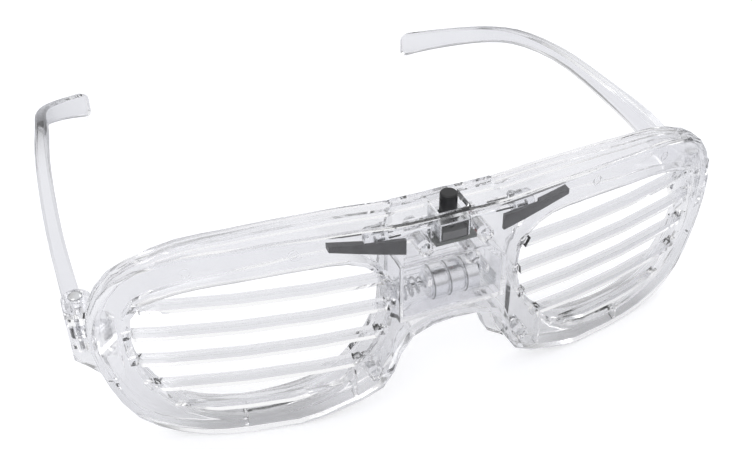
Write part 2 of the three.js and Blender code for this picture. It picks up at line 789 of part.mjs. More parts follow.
function batteryDoor() {
  const front = boxBack + seat;
  const panel = boxBody(0, front, front + doorThick);
  const plug = cut(
    box(
      [boxWall + seat - boxHalf, front - doorLip - seat, boxBottom + boxWall + seat],
      [boxHalf - boxWall - seat, front, cellZ - cellRadius * 0.8],
    ),
    box([cellStartX - seat, 0, 0], [cellEndX + seat + stripThick, front - seat / 2, cellZ]),
  );
  const ribs = Array.from({ length: doorRibs }, (_, i) => {
    const z = boxBottom + boxWall * 2 + i * doorRibWide * 2.2;
    return box(
      [-boxHalf * 0.55, front + doorThick / 2, z],
      [boxHalf * 0.55, front + doorThick + doorRibHeight, z + doorRibWide],
    );
  });
  const { x, z } = doorPost;
  const hole = backwardTurn(rod(screwRadius + seat, front - overrun, front + overrun), x, z, 12);
  return cut(join(panel, plug, ...ribs), hole);
}

function panScrew(tip, seatY, x, z) {
  const headStart = seatY + seat;
  return backwardTurn([
    [0, tip], [screwRadius * 0.5, tip], [screwRadius, tip + screwRadius], [screwRadius, headStart],
    [screwHeadRadius, headStart], [screwHeadRadius, headStart + screwHead * 0.5],
    [screwHeadRadius * 0.7, headStart + screwHead], [0, headStart + screwHead],
  ], x, z, 14);
}

function caseScrew({ x, z }) {
  const tip = wrap(x) + postStart + seat;
  const lowX = Math.abs(x) - screwHeadRadius;
  const highX = Math.abs(x) + screwHeadRadius;
  const surfaces = [lowX, highX].flatMap((at) => [z - screwHeadRadius, z + screwHeadRadius]
    .map((height) => bentDepth(at, flatDepth, height)));
  return panScrew(tip, Math.max(...surfaces) - seat / 2, x, z);
}

const doorScrew = () => panScrew(
  boxFront + boxWall * 2 + seat, boxBack + seat + doorThick, doorPost.x, doorPost.z,
);

// Switch, bracket, button, board and chip
function switchBody() {
  const body = box(
    [buttonX - switchHalf, buttonY - switchDepthHalf, switchBottom],
    [buttonX + switchHalf, buttonY + switchDepthHalf, switchTop],
  );
  const floor = switchBottom + switchHeight * 0.2;
  const bore = uprightTurn(rod(stemRadius + seat, floor, switchTop + overrun), buttonX, buttonY, 16);
  return cut(body, bore);
}

function switchBracket() {
  const outerX = switchHalf + seat + bracketSheet;
  const outerY = switchDepthHalf;
  const shell = box(
    [buttonX - outerX, buttonY - outerY, switchBottom],
    [buttonX + outerX, buttonY + outerY, bracketTop],
  );
  const room = box(
    [buttonX - switchHalf - seat, buttonY - outerY - overrun, switchBottom - overrun],
    [buttonX + switchHalf + seat, buttonY + outerY + overrun, bracketPlate],
  );
  const opening = rod(buttonRadius + seat, bracketPlate - overrun, bracketTop + overrun);
  const hole = uprightTurn(opening, buttonX, buttonY, 20);
  return cut(shell, room, hole);
}

function powerButton() {
  const stemBottom = switchBottom + switchHeight * 0.2 + seat + buttonTravel;
  const crown = buttonRadius * 0.15;
  return uprightTurn([
    [0, stemBottom], [stemRadius, stemBottom], [stemRadius, flangeBottom],
    [flangeRadius, flangeBottom], [flangeRadius, flangeBottom + flangeThick],
    [buttonRadius, flangeBottom + flangeThick], [buttonRadius, buttonTop - crown],
    [buttonRadius - crown, buttonTop], [0, buttonTop],
  ], buttonX, buttonY, 20);
}

function circuitBoard() {
  const board = box([-boardHalf, boardFront, boardBottom], [boardHalf, boardBack, boardTop]);
  const notch = box(
    [-boardHalf - overrun, boardBack - boardThick * 2, boardTop - overrun],
    [-boardHalf + boardThick * 2, boardBack + overrun, boardTop + overrun],
  );
  return cut(board, notch);
}

function controllerChip() {
  const top = boardBottom - seat;
  return uprightTurn([
    [0, top - chipHeight], [chipRadius * 0.6, top - chipHeight], [chipRadius, top - chipHeight * 0.4],
    [chipRadius, top], [0, top],
  ], chipX, buttonY, 16);
}

// Emitter: a domed body pointing outwards and two legs back to the board
function lightEmitter(side) {
  const dome = ledStart + ledLength;
  const body = sidewaysTurn([
    [0, ledStart], [ledRadius + ledFlange, ledStart],
    [ledRadius + ledFlange, ledStart + ledLength * 0.16],
    [ledRadius, ledStart + ledLength * 0.16], [ledRadius, dome - ledRadius * 0.7],
    [ledRadius * 0.7, dome - ledRadius * 0.2], [0, dome],
  ], ledY, ledZ, 16);
  const legs = [-1, 1].map((way) => {
    const y = ledY + way * ledRadius * 0.6;
    const run = box(
      [boardHalf - legWide, y - legWide / 2, ledZ - legWide / 2],
      [ledStart + ledLength * 0.1, y + legWide / 2, ledZ + legWide / 2],
    );
    const drop = box(
      [boardHalf - legWide, y - legWide / 2, boardTop + seat],
      [boardHalf, y + legWide / 2, ledZ + legWide / 2],
    );
    return join(run, drop);
  });
  const whole = join(body, ...legs);
  return side > 0 ? whole : whole.scale([-1, 1, 1]);
}

// Light shield: a dark wedge behind the front face, tall towards the bridge and deep away from it
function lightShield(side) {
  const front = plate + shieldSetback;
  const ring = (depths) => shieldShares.map(([x, z], i) => (
    new THREE.Vector3(side * x * halfWidth, front + depths[i], z * frameHeight)
  ));
  const strip = loft(
    [ring([0, 0, 0, 0]), ring([shieldThick, shieldDeep, shieldDeep, shieldThick])],
    seenFromFront,
  );
  const name = side > 0 ? 'right' : 'left';
  const { x, z } = upperPost;
  const shield = bend(cut(
    strip,
    openingCore(name, -rimWall - seat, 0, flatDepth),
    backwardTurn(rod(postRadius + seat, 0, flatDepth), side * x, z, 16),
  ));
  const reach = [ledStart - seat, ledStart + ledLength + seat].map((end) => end * side);
  const room = rod(ledRadius + ledFlange + seat, Math.min(...reach), Math.max(...reach));
  return cut(shield, sidewaysTurn(room, ledY, ledZ, 16));
}

function lead(points) {
  const path = new THREE.CatmullRomCurve3(points.map((point) => new THREE.Vector3(...point)));
  const section = new THREE.Shape();
  section.absarc(0, 0, wireRadius, 0, Math.PI * 2);
  return solidOf(new THREE.ExtrudeGeometry(section, { steps: 8, extrudePath: path, curveSegments: 4 }));
}

// Short leads from the battery box's roof up to the board's underside
function batteryLead(side) {
  const start = boxTop + seat + wireRadius;
  const end = boardBottom - seat;
  const middle = (start + end) / 2;
  const y = boardFront + (boardBack - boardFront) * 0.7;
  const far = boardHalf * 0.9;
  const near = boardHalf * 0.8;
  return lead([
    [side * far, y, start], [side * far, y, start + wireRadius], [side * (far + near) / 2, y, middle],
    [side * near, y, end - wireRadius], [side * near, y, end],
  ]);
}

// Assembly
const object = new THREE.Group();

function addPiece(name, solid, look) {
  const mesh = new THREE.Mesh(geometryOf(solid), new THREE.MeshStandardMaterial(look));
  mesh.name = name;
  object.add(mesh);
}

addPiece('front_shell', frontShell(), clear);
addPiece('rear_cover', rearCover(), clear);
for (const [side, sign] of Object.entries(sides)) {
  slatTops.forEach((top, i) => addPiece(`slat_${side}_${i + 1}`, slat(side, top), clear));
  addPiece(`temple_${side}`, temple(sign), clear);
  addPiece(`hinge_pin_${side}`, hingePin(sign), steel);
  addPiece(`led_${side}`, lightEmitter(sign), emitter);
  addPiece(`light_shield_${side}`, lightShield(sign), greyPlastic);
}
addPiece('power_button', powerButton(), blackPlastic);
addPiece('switch_body', switchBody(), greyPlastic);
addPiece('switch_bracket', switchBracket(), steel);
addPiece('circuit_board', circuitBoard(), boardDark);
addPiece('controller_chip', controllerChip(), blackPlastic);
addPiece('battery_box', batteryBox(), clear);
for (let i = 0; i < cellCount; i++) addPiece(`button_cell_${i + 1}`, buttonCell(i), steel);
addPiece('contact_spring', contactSpring(), steel);
addPiece('contact_plate', contactPlate(), steel);
addPiece('battery_door', batteryDoor(), clear);
addPiece('door_screw', doorScrew(), steel);
posts.forEach((post, i) => addPiece(`case_screw_${i + 1}`, caseScrew(post), steel));
addPiece('lead_positive', batteryLead(1), redWire);
addPiece('lead_negative', batteryLead(-1), blackPlastic);

// The bounding box runs from the front face to the temple tips, so the origin moves to its middle
const bounds = new THREE.Box3().setFromObject(object);
object.position.y = -(bounds.min.y + bounds.max.y) / 2;

export default object;
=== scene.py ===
import json
import math

import bmesh
import bpy
from mathutils import Matrix, Vector


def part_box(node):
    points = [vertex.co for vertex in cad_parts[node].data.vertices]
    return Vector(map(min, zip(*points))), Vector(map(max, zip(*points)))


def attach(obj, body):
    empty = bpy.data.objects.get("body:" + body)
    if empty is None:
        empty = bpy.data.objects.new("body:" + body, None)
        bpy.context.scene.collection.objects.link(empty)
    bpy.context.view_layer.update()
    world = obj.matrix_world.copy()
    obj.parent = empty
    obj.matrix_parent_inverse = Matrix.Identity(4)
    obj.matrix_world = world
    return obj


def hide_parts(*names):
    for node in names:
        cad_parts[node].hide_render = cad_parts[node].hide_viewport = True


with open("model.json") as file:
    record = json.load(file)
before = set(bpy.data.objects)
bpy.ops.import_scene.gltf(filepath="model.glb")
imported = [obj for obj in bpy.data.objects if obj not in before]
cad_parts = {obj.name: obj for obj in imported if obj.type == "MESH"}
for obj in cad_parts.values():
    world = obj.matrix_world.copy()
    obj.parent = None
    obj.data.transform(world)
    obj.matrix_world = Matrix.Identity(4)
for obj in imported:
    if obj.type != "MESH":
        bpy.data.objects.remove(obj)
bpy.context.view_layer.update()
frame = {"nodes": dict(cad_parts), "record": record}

# The photograph's camera, fitted about a point over the middle of the front face
CAMERA_TURN = math.radians(-21.755)
CAMERA_RISE = math.radians(35.892)
CAMERA_ROLL = math.radians(-0.563)
CAMERA_OFFSET = (16.936e-3, -19.057e-3)
CAMERA_DISTANCE = 212.331e-3
FOCAL_PIXELS = 1006.487
FRAME_PIXELS = 752
SENSOR_MM = 36.0
AIM_HEIGHT = 22.5e-3
FRONT_OFFSET = 0.3e-3
NEAREST_SEEN = 0.01

# Studio
FLOOR_REACH = 3.0
FLOOR_DROP = 0.15e-3
FLOOR_COLOR = (0.55, 0.555, 0.583)
FLOOR_ROUGHNESS = 0.9
FLOOR_LIFT = 0.54
PLASTIC_LIFT = 0.28
HORIZON = 0.4
HORIZON_RISE = (0.02, 0.55)
CLEAR_BOUNCES = 32
GLOSSY_BOUNCES = 12

# Softened edges
MERGE_DISTANCE = 2e-6
FLAT_ANGLE = math.radians(0.5)
EDGE_ANGLE = math.radians(28)
EDGE_SEGMENTS = 2
SLAT_EDGE = 0.2e-3
SMALL_EDGE = 0.08e-3

# Rounded corners at the temples' free ends
TIP_LENGTH = 8e-3
TIP_UPPER_RADIUS = 3.4e-3
TIP_LOWER_RADIUS = 1.7e-3
TIP_CUTS = 5

# Cross recess in the head of each screw
RECESS_ARM = 0.95e-3
RECESS_HALF = 0.24e-3
RECESS_DEPTH = 0.55e-3
RECESS_TAPER = 0.6
RECESS_OVERRUN = 0.1e-3

# Hairlines: the rings of ejector pins on the front face, and the gasket of each button cell
MARK_PLACES = ((33.4e-3, 45.9e-3), (53.5e-3, 44.3e-3))
MARK_RADIUS = 0.95e-3
MARK_WIDTH = 0.16e-3
MARK_STEP = 5e-5
GASKET_SHARE = 0.2
GASKET_WIDTH = 0.16e-3
GASKET_STEP = -4e-5

# Metal inside each emitter, with the lengths counted from the lens's inner end
LENS_LENGTH = 5e-3
LENS_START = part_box("led_right")[1].x - LENS_LENGTH
LEG_OVERLAP = 1e-5
POST_PLACE = 0.9e-3
POST_HALF = 0.22e-3
POST_START = 0.6e-3
POST_BEVEL = 0.05e-3
SHORT_POST_END = 2.4e-3
LONG_POST_END = 2.9e-3
CUP_START = 2.45e-3
CUP_END = 3.0e-3
CUP_FRONT = 1.1e-3
CUP_BACK = 0.15e-3
CUP_HALF = 0.45e-3
CUP_BEVEL = 0.12e-3

# Solder: half sizes of the fillets, how far in from a leg's end they sit, and how far proud
LEG_SOLDER = (0.42e-3, 0.42e-3, 0.5e-3)
LEG_SOLDER_INSET = 0.25e-3
LEG_SOLDER_RISE = 0.1e-3
LEAD_SOLDER = (0.62e-3, 0.62e-3, 0.4e-3)
LEAD_SOLDER_INSET = 0.5e-3
LEAD_SOLDER_DROP = 0.05e-3
SOLDER_MERGE = 1e-7

# Where most of a noise texture's values lie
NOISE_SPAN = (0.3, 0.7)

nodes = frame["nodes"]
body_of = {
    node: body
    for body, members in frame["record"]["behaviour"]["bodies"].items()
    for node in members
}
slot_of = {part["node"]: part["material_slot"] for part in frame["record"]["subparts"]}


# Materials

class Finish:
    """A node material around one Principled shader, with patterns on Object coordinates."""

    def __init__(self, name, color, roughness, metallic=0.0):
        self.material = bpy.data.materials.new(name + "_finish")
        self.material.use_nodes = True
        self.tree = self.material.node_tree
        self.shader = self.tree.nodes["Principled BSDF"]
        self.shader.inputs["Base Color"].default_value = (*color, 1.0)
        self.shader.inputs["Roughness"].default_value = roughness
        self.shader.inputs["Metallic"].default_value = metallic
        self.coordinates = self.tree.nodes.new("ShaderNodeTexCoord").outputs["Object"]

    def link(self, source, target):
        self.tree.links.new(source, target)

    def noise(self, scale, detail, stretch=(1.0, 1.0, 1.0)):
        """Soft patches, whose pattern is stretched along an axis with a factor under 1."""
        mapping = self.tree.nodes.new("ShaderNodeMapping")
        mapping.inputs["Scale"].default_value = stretch
        self.link(self.coordinates, mapping.inputs["Vector"])
        texture = self.tree.nodes.new("ShaderNodeTexNoise")
        texture.inputs["Scale"].default_value = scale
        texture.inputs["Detail"].default_value = detail
        self.link(mapping.outputs["Vector"], texture.inputs["Vector"])
        return texture.outputs["Fac"]

    def ramp(self, value, stops):
        """Turns a value into a colour, from stops of a place and a colour."""
        ramp = self.tree.nodes.new("ShaderNodeValToRGB")
        elements = ramp.color_ramp.elements
        for element, (place, color) in zip(elements, stops):
            element.position = place
            element.color = (*color, 1.0)
        for place, color in stops[2:]:
            element = elements.new(place)
            element.color = (*color, 1.0)
        self.link(value, ramp.inputs["Fac"])
        return ramp.outputs["Color"]

    def spread(self, value, low, high):
        """Spreads a noise value over a range."""
        span = self.tree.nodes.new("ShaderNodeMapRange")
        span.inputs["From Min"].default_value = NOISE_SPAN[0]
        span.inputs["From Max"].default_value = NOISE_SPAN[1]
        span.inputs["To Min"].default_value = low
        span.inputs["To Max"].default_value = high
        self.link(value, span.inputs["Value"])
        return span.outputs["Result"]

    def reckon(self, operation, first, second=None):
        """One Math node on sockets or plain numbers."""
        math_node = self.tree.nodes.new("ShaderNodeMath")
        math_node.operation = operation
        for value, socket in zip((first, second), math_node.inputs):
            if isinstance(value, bpy.types.NodeSocket):
                self.link(value, socket)
            elif value is not None:
                socket.default_value = value
        return math_node.outputs[0]

    def offset(self, place, axes=(1.0, 1.0, 1.0)):
        """The vector from a place in the frame, with some of its axes left out."""
        away = self.tree.nodes.new("ShaderNodeVectorMath")
        away.operation = "SUBTRACT"
        away.inputs[1].default_value = place
        self.link(self.coordinates, away.inputs[0])
        kept = self.tree.nodes.new("ShaderNodeVectorMath")
        kept.operation = "MULTIPLY"
        kept.inputs[1].default_value = axes
        self.link(away.outputs[0], kept.inputs[0])
        return kept.outputs[0]

    def near(self, value, middle, width):
        """1 where a value is at the middle, and 0 from the width outwards."""
        away = self.reckon("ABSOLUTE", self.reckon("SUBTRACT", value, middle))
        fade = self.tree.nodes.new("ShaderNodeMapRange")
        fade.inputs["From Max"].default_value = width
        fade.inputs["To Min"].default_value = 1.0
        fade.inputs["To Max"].default_value = 0.0
        self.link(away, fade.inputs["Value"])
        return fade.outputs["Result"]

    def ring(self, place, radius, width, axes):
        """A hairline circle around a place, seen along the axis that is left out."""
        length = self.tree.nodes.new("ShaderNodeVectorMath")
        length.operation = "LENGTH"
        self.link(self.offset(place, axes), length.inputs[0])
        return self.near(length.outputs["Value"], radius, width)

    def darkened(self, mask, color):
        """Mixes a colour over the base where the mask is 1."""
        mix = self.tree.nodes.new("ShaderNodeMix")
        mix.data_type = "RGBA"
        mix.inputs["B"].default_value = (*color, 1.0)
        target = self.shader.inputs["Base Color"]
        self.link(target.links[0].from_socket, mix.inputs["A"])
        self.link(mask, mix.inputs["Factor"])
        self.link(mix.outputs["Result"], target)

    def bump(self, height, distance):
        """Adds a height to the surface's normal, over any bump that is there already."""
        bump = self.tree.nodes.new("ShaderNodeBump")
        bump.inputs["Distance"].default_value = distance
        bump.inputs["Strength"].default_value = 1.0
        self.link(height, bump.inputs["Height"])
        if self.shader.inputs["Normal"].is_linked:
            self.link(self.shader.inputs["Normal"].links[0].from_socket, bump.inputs["Normal"])
        self.link(bump.outputs["Normal"], self.shader.inputs["Normal"])


def clear_plastic(name, faces, edges, index, density, wave, span=(0.45, 0.95), marks=()):
    """Moulded clear plastic, greyer where it is seen edge on and along long paths inside.

    The marks are rings that ejector pins leave on the front face.
    """
    finish = Finish(name, faces, 0.05)
    shader = finish.shader
    shader.inputs["Transmission Weight"].default_value = 1.0
    shader.inputs["IOR"].default_value = index
    flow = finish.noise(scale=160.0, detail=4.0, stretch=(0.35, 1.0, 1.0))
    finish.link(finish.spread(flow, low=0.03, high=0.08), shader.inputs["Roughness"])
    edge_on = finish.tree.nodes.new("ShaderNodeLayerWeight")
    tint = finish.ramp(edge_on.outputs["Facing"], [(span[0], faces), (span[1], edges)])
    cloudy, pure = (0.98, 0.98, 0.985), (1.0, 1.0, 1.0)
    clouds = finish.ramp(finish.noise(scale=70.0, detail=2.0), [(0.3, cloudy), (0.7, pure)])
    mix = finish.tree.nodes.new("ShaderNodeMix")
    mix.data_type = "RGBA"
    mix.blend_type = "MULTIPLY"
    mix.inputs["Factor"].default_value = 1.0
    finish.link(tint, mix.inputs["A"])
    finish.link(clouds, mix.inputs["B"])
    finish.link(mix.outputs["Result"], shader.inputs["Base Color"])
    finish.bump(finish.noise(scale=55.0, detail=1.0, stretch=(0.5, 1.0, 1.0)), wave)
    for mark in marks:
        finish.bump(finish.ring(mark, MARK_RADIUS, MARK_WIDTH, axes=(1.0, 0.0, 1.0)), MARK_STEP)
    absorption = finish.tree.nodes.new("ShaderNodeVolumeAbsorption")
    absorption.inputs["Color"].default_value = (0.36, 0.38, 0.46, 1.0)
    absorption.inputs["Density"].default_value = density
    output = finish.tree.nodes["Material Output"]
    finish.link(absorption.outputs["Volume"], output.inputs["Volume"])
    return finish


def satin_plastic(name, color, wear, roughness, grain):
    """Opaque moulded plastic with a fine spark-eroded grain and slightly polished patches."""
    finish = Finish(name, color, roughness)
    inputs = finish.shader.inputs
    patches = finish.noise(scale=240.0, detail=4.0)
    finish.link(finish.ramp(patches, [(0.35, color), (0.75, wear)]), inputs["Base Color"])
    polish = finish.spread(patches, low=roughness - 0.08, high=roughness + 0.1)
    finish.link(polish, inputs["Roughness"])
    finish.bump(finish.noise(scale=4500.0, detail=2.0), grain)
    return finish.material


def plated_metal(name, color, dull, roughness, stretch, grain=4e-6):
    """Bright plating with fine drawn lines and faint tarnish."""
    finish = Finish(name, color, roughness, metallic=1.0)
    inputs = finish.shader.inputs
    tarnish = finish.noise(scale=420.0, detail=5.0)
    finish.link(finish.ramp(tarnish, [(0.4, color), (0.8, dull)]), inputs["Base Color"])
    lines = finish.noise(scale=2600.0, detail=2.0, stretch=stretch)
    drawn = finish.spread(lines, low=roughness - 0.06, high=roughness + 0.12)
    finish.link(drawn, inputs["Roughness"])
    finish.bump(lines, grain)
    return finish.material


def lens_with_legs(name, start):
    """Clear epoxy for the lens, and bright metal for the legs that start on its inner side."""
    faces, edges = (0.96, 0.965, 0.975), (0.8, 0.8, 0.82)
    finish = clear_plastic(name, faces, edges, index=1.53, density=20.0, wave=1e-5)
    apart = finish.tree.nodes.new("ShaderNodeSeparateXYZ")
    finish.link(finish.coordinates, apart.inputs[0])
    legs = finish.reckon("LESS_THAN", finish.reckon("ABSOLUTE", apart.outputs["X"]), start)
    finish.link(legs, finish.shader.inputs["Metallic"])
    return finish.material


def cell_metal(name, cans):
    """Plated cell cans with a dark gasket line around the step at the cap."""
    finish = Finish(name, (0.8, 0.81, 0.83), roughness=0.2, metallic=1.0)
    inputs = finish.shader.inputs
    bright, dull = (0.9, 0.905, 0.92), (0.76, 0.77, 0.79)
    tarnish = finish.noise(scale=300.0, detail=3.0)
    finish.link(finish.ramp(tarnish, [(0.4, bright), (0.9, dull)]), inputs["Base Color"])
    turned = finish.noise(scale=900.0, detail=2.0, stretch=(3.0, 1.0, 1.0))
    finish.link(finish.spread(turned, low=0.14, high=0.26), inputs["Roughness"])
    along = finish.tree.nodes.new("ShaderNodeSeparateXYZ")
    finish.link(finish.coordinates, along.inputs[0])
    for can in cans:
        low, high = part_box(can)
        step = low.x + GASKET_SHARE * (high.x - low.x)
        gasket = finish.near(along.outputs["X"], step, GASKET_WIDTH)
        finish.darkened(gasket, (0.05, 0.05, 0.055))
        finish.bump(gasket, GASKET_STEP)
    return finish.material


CELLS = ["button_cell_1", "button_cell_2", "button_cell_3"]
SCREWS = ["door_screw"] + [f"case_screw_{number}" for number in range(1, 5)]
SLATS = [node for node in nodes if node.startswith("slat_")]
TEMPLES = ["temple_left", "temple_right"]
FRONT_MARKS = [(side * x, 0.0, z) for side in (-1, 1) for x, z in MARK_PLACES]
CLEAR = {
    "faces": (0.985, 0.985, 0.99),
    "edges": (0.88, 0.885, 0.9),
    "index": 1.49,
    "density": 2.0,
    "wave": 2e-5,
}
MATERIALS = {
    "clear_plastic": clear_plastic("clear_plastic", **CLEAR).material,
    "clear_lens": lens_with_legs("clear_lens", LENS_START - LEG_OVERLAP),
    "grey_plastic": satin_plastic(
        "grey_plastic", (0.045, 0.045, 0.048), (0.1, 0.1, 0.105), roughness=0.42, grain=8e-6
    ),
    "black_plastic": satin_plastic(
        "black_plastic", (0.004, 0.004, 0.005), (0.012, 0.012, 0.014), roughness=0.42, grain=6e-6
    ),
    "plated_sheet": plated_metal(
        "plated_sheet", (0.8, 0.81, 0.83), (0.6, 0.6, 0.6), roughness=0.24, stretch=(1.0, 0.08, 1.0)
    ),
    "steel": plated_metal(
        "steel", (0.66, 0.67, 0.69), (0.42, 0.41, 0.4), roughness=0.22, stretch=(1.0, 1.0, 0.15)
    ),
    "board": satin_plastic(
        "board", (0.13, 0.14, 0.13), (0.19, 0.2, 0.19), roughness=0.34, grain=5e-6
    ),
    "red_wire": satin_plastic(
        "red_wire", (0.42, 0.03, 0.025), (0.55, 0.07, 0.05), roughness=0.45, grain=4e-6
    ),
    "black_wire": satin_plastic(
        "black_wire", (0.02, 0.02, 0.022), (0.05, 0.05, 0.055), roughness=0.45, grain=4e-6
    ),
}
SWITCH_FINISH = satin_plastic(
    "switch_plastic", (0.14, 0.14, 0.145), (0.22, 0.22, 0.225), roughness=0.4, grain=6e-6
)
FRONT_FINISH = clear_plastic("clear_plastic_front", **CLEAR, marks=FRONT_MARKS).material
SLAT_FINISH = clear_plastic(
    "clear_plastic_slats",
    faces=(0.985, 0.985, 0.99),
    edges=(0.72, 0.725, 0.745),
    index=1.49,
    density=8.0,
    wave=2e-6,
    span=(0.3, 0.55),
).material
TEMPLE_FINISH = clear_plastic(
    "clear_plastic_temples",
    faces=(0.945, 0.945, 0.955),
    edges=(0.68, 0.69, 0.71),
    index=1.49,
    density=8.0,
    wave=2e-5,
).material
SPECIAL = {
    "front_shell": FRONT_FINISH,
    "switch_body": SWITCH_FINISH,
    **dict.fromkeys(SLATS, SLAT_FINISH),
    **dict.fromkeys(TEMPLES, TEMPLE_FINISH),
    **dict.fromkeys(CELLS, cell_metal("cell_cans", CELLS)),
}


# Pieces made from the CAD solids, with softened edges

def round_tip(shape, upper, lower):
    """Rounds the upper and lower corner of a temple's free end with a fan of flat cuts."""
    far = max(corner.co.y for corner in shape.verts) - TIP_LENGTH

    def end_faces():
        return [face for face in shape.faces if max(corner.co.y for corner in face.verts) > far]

    end = max(end_faces(), key=lambda face: face.normal.y * face.calc_area())
    ahead = end.normal.copy()
    front = ahead.dot(end.verts[0].co)
    for side, radius in ((1.0, upper), (-1.0, lower)):
        rail = max(end_faces(), key=lambda face: side * face.normal.z * face.calc_area())
        lean = math.atan2(rail.normal.z, rail.normal.dot(ahead))
        rail_level = max(
            math.cos(lean) * ahead.dot(corner.co) + math.sin(lean) * corner.co.z
            for corner in rail.verts
        )
        center_ahead = front - radius
        center_z = (rail_level - radius - math.cos(lean) * center_ahead) / math.sin(lean)
        for step in range(1, TIP_CUTS + 1):
            angle = lean * step / (TIP_CUTS + 1)
            normal = ahead * math.cos(angle) + Vector((0.0, 0.0, math.sin(angle)))
            # The corners go in by height, since the merged mesh depends on their order
            faces = end_faces()
            edges = dict.fromkeys(edge for face in faces for edge in face.edges)
            corners = dict.fromkeys(corner for face in faces for corner in face.verts)
            cut = bmesh.ops.bisect_plane(
                shape,
                geom=[*faces, *edges, *sorted(corners, key=lambda corner: corner.co.z)],
                plane_co=ahead * center_ahead + Vector((0.0, 0.0, center_z)) + normal * radius,
                plane_no=normal,
                clear_outer=True,
            )
            rim = [edge for edge in cut["geom_cut"] if isinstance(edge, bmesh.types.BMEdge)]
            bmesh.ops.contextual_create(shape, geom=rim)
    bmesh.ops.recalc_face_normals(shape, faces=shape.faces)


def cut_cross(piece, node):
    """Sinks a tapered cross into a screw's head, which faces backwards."""
    low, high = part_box(node)
    middle = (low + high) / 2
    quarter = ((RECESS_ARM, -RECESS_HALF), (RECESS_ARM, RECESS_HALF), (RECESS_HALF, RECESS_HALF))
    outline = []
    for _ in range(4):
        outline += quarter
        quarter = tuple((-z, x) for x, z in quarter)
    shape = bmesh.new()
    mouth, floor = (
        [shape.verts.new((middle.x + x * scale, depth, middle.z + z * scale)) for x, z in outline]
        for depth, scale in ((high.y + RECESS_OVERRUN, 1.0), (high.y - RECESS_DEPTH, RECESS_TAPER))
    )
    shape.faces.new(mouth)
    shape.faces.new(floor[::-1])
    for here in range(len(outline)):
        after = (here + 1) % len(outline)
        shape.faces.new((mouth[after], mouth[here], floor[here], floor[after]))
    bmesh.ops.recalc_face_normals(shape, faces=shape.faces)
    mesh = bpy.data.meshes.new("cross_cutter")
    shape.to_mesh(mesh)
    shape.free()
    cutter = bpy.data.objects.new("cross_cutter", mesh)
    bpy.context.scene.collection.objects.link(cutter)
    cut = piece.modifiers.new("recess", "BOOLEAN")
    cut.operation = "DIFFERENCE"
    cut.solver = "EXACT"
    cut.object = cutter
    whole = piece.data
    evaluated = piece.evaluated_get(bpy.context.evaluated_depsgraph_get())
    piece.data = bpy.data.meshes.new_from_object(evaluated)
    piece.modifiers.remove(cut)
    bpy.data.objects.remove(cutter)
    bpy.data.meshes.remove(mesh)
    bpy.data.meshes.remove(whole)


def soften(node, edge):
    """Replaces a CAD node by a merged copy of it, with whole flat faces and rounded edges."""
    shape = bmesh.new()
    shape.from_mesh(nodes[node].data)
    bmesh.ops.remove_doubles(shape, verts=shape.verts, dist=MERGE_DISTANCE)
    if node in TEMPLES:
        round_tip(shape, TIP_UPPER_RADIUS, TIP_LOWER_RADIUS)
    bmesh.ops.dissolve_limit(
        shape, angle_limit=FLAT_ANGLE, verts=shape.verts, edges=shape.edges
    )
    mesh = bpy.data.meshes.new(node + "_finished")
    shape.to_mesh(mesh)
    shape.free()
    mesh.shade_smooth()
    piece = bpy.data.objects.new(node + "_finished", mesh)
    bpy.context.scene.collection.objects.link(piece)
    mesh.materials.append(SPECIAL.get(node, MATERIALS[slot_of[node]]))
    if node in SCREWS:
        cut_cross(piece, node)
    rounding = piece.modifiers.new("edges", "BEVEL")
    rounding.width = edge
    rounding.segments = EDGE_SEGMENTS
    rounding.limit_method = "ANGLE"
    rounding.angle_limit = EDGE_ANGLE
    rounding.harden_normals = True
    shading = piece.modifiers.new("shading", "WEIGHTED_NORMAL")
    shading.keep_sharp = True
    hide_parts(node)
    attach(piece, body_of[node])


# The widths asked for. Blender narrows a piece's rounding to what its shortest edges allow,
# so most pieces get less, and the shell, the cover and the slats hardly any.
CLEAR_EDGES = {
    "front_shell": 0.22e-3,
    "rear_cover": 0.2e-3,
    "temple_left": 0.45e-3,
    "temple_right": 0.45e-3,
    "battery_box": 0.15e-3,
    "battery_door": 0.2e-3,
    **dict.fromkeys(SLATS, SLAT_EDGE),
}
for node in nodes:
    soften(node, CLEAR_EDGES.get(node, SMALL_EDGE))


# Small pieces that the CAD leaves out: the metal inside the emitters and the solder

def add_box(shape, low, high, bevel):
    """Adds a box with bevelled edges between two corners."""
    corners = bmesh.ops.create_cube(shape, size=1.0)["verts"]
    size = [top - bottom for bottom, top in zip(low, high)]
    middle = [(top + bottom) / 2 for bottom, top in zip(low, high)]
    bmesh.ops.scale(shape, vec=size, verts=corners)
    bmesh.ops.translate(shape, vec=middle, verts=corners)
    edges = list(dict.fromkeys(edge for corner in corners for edge in corner.link_edges))
    bmesh.ops.bevel(
        shape, geom=edges, offset=bevel, segments=2, profile=0.5, affect="EDGES", material=-1
    )


def small_piece(name, shape, material):
    """Makes a piece of the frame from a finished shape."""
    bmesh.ops.remove_doubles(shape, verts=shape.verts, dist=SOLDER_MERGE)
    bmesh.ops.recalc_face_normals(shape, faces=shape.faces)
    mesh = bpy.data.meshes.new(name)
    shape.to_mesh(mesh)
    shape.free()
    mesh.shade_smooth()
    mesh.materials.append(material)
    piece = bpy.data.objects.new(name, mesh)
    bpy.context.scene.collection.objects.link(piece)
    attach(piece, "frame")


